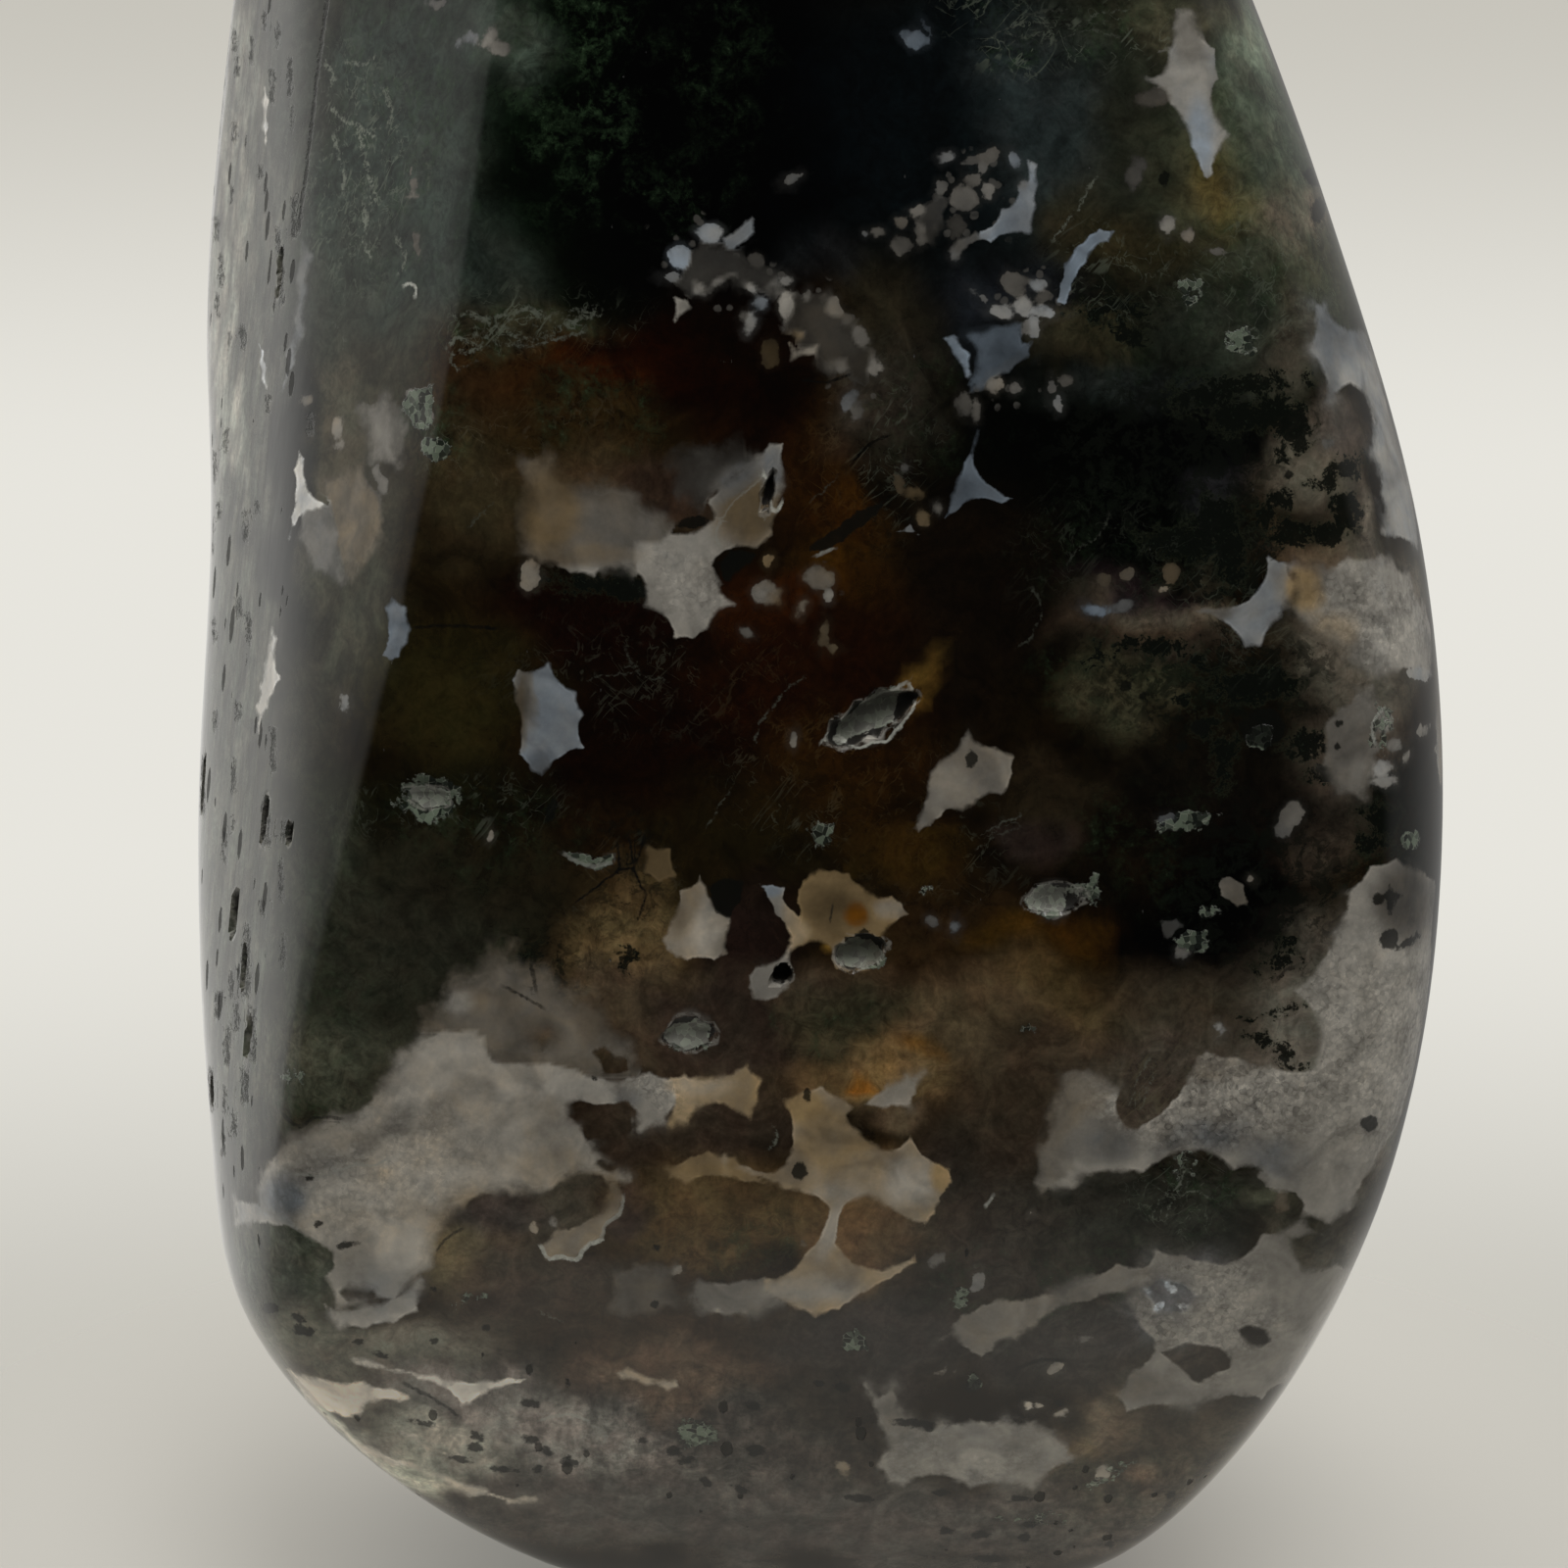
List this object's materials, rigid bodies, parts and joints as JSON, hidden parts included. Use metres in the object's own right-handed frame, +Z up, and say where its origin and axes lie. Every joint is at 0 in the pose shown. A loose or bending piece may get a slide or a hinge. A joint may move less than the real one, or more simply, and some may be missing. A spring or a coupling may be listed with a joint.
{
  "type": "moss agate tower",
  "caption": "Freeform polished stone tower with broad ground faces, soft ridges, a blunt tip and a flat sawn base to stand on.",
  "frame": {"origin": "middle of the stone's box, on the plane of the sawn base", "axes": "+Z up through the tower, -Y out of the broad front face, +X to the viewer's right"},
  "size_m": [0.065, 0.051, 0.128],
  "materials": {
    "moss_agate": "polished dark green to brown translucent chalcedony with grey-white patches, black-green moss and rust stains"
  },
  "bodies": {
    "root": {"stone": "moss_agate"}
  },
  "joints": []
}
